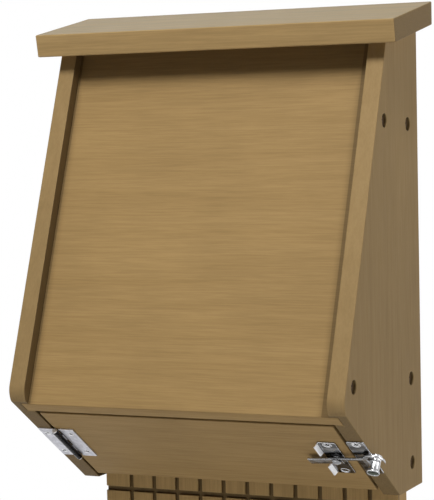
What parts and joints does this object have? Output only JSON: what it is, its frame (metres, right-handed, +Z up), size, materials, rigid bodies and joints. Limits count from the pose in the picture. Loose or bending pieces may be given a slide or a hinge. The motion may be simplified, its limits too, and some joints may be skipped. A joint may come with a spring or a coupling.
{
  "type": "bat box",
  "caption": "Wall-hung wooden bat box: sloping roof, raked front, grooved back board running down as a landing, and a hinged flap door with hook latch.",
  "frame": {"origin": "middle of the back board's rear face, level with the lower ends of the sides", "axes": "+X to the right seen from the front, +Y towards the wall, +Z up"},
  "size_m": [0.278, 0.1573, 0.4407],
  "materials": {
    "wood": "stained, rough sawn",
    "roof_wood": "stained, weathered",
    "zinc": "bright zinc",
    "chrome": "polished",
    "dark_steel": "dull"
  },
  "bodies": {
    "box": {"roof_board": "roof_wood", "left_side": "wood", "right_side": "wood", "front_panel": "wood", "back_board": "wood", "hinge_side_leaf": "zinc", "hinge_pin": "dark_steel", "hinge_side_screws": "zinc", "keeper_plate": "chrome", "keeper_stud": "chrome", "keeper_screws": "chrome", "left_side_screws": "dark_steel", "right_side_screws": "dark_steel"},
    "door": {"flap_door": "wood", "hinge_door_leaf": "zinc", "hinge_door_screws": "zinc", "latch_plate": "chrome", "latch_rivet": "chrome", "latch_screws": "chrome"},
    "hook": {"latch_hook": "chrome"}
  },
  "joints": [
    {"name": "door_hinge", "type": "hinge", "parent": "box", "child": "door", "pos_m": [-0.111, -0.09186, 0.03411], "axis": [0, 0.8227, -0.5684], "range_deg": [0, 110]},
    {"name": "hook_pivot", "type": "hinge", "parent": "door", "child": "hook", "pos_m": [0.1003, -0.09139, 0.03373], "axis": [0, -0.5684, -0.8227], "range_deg": [0, 22]}
  ]
}
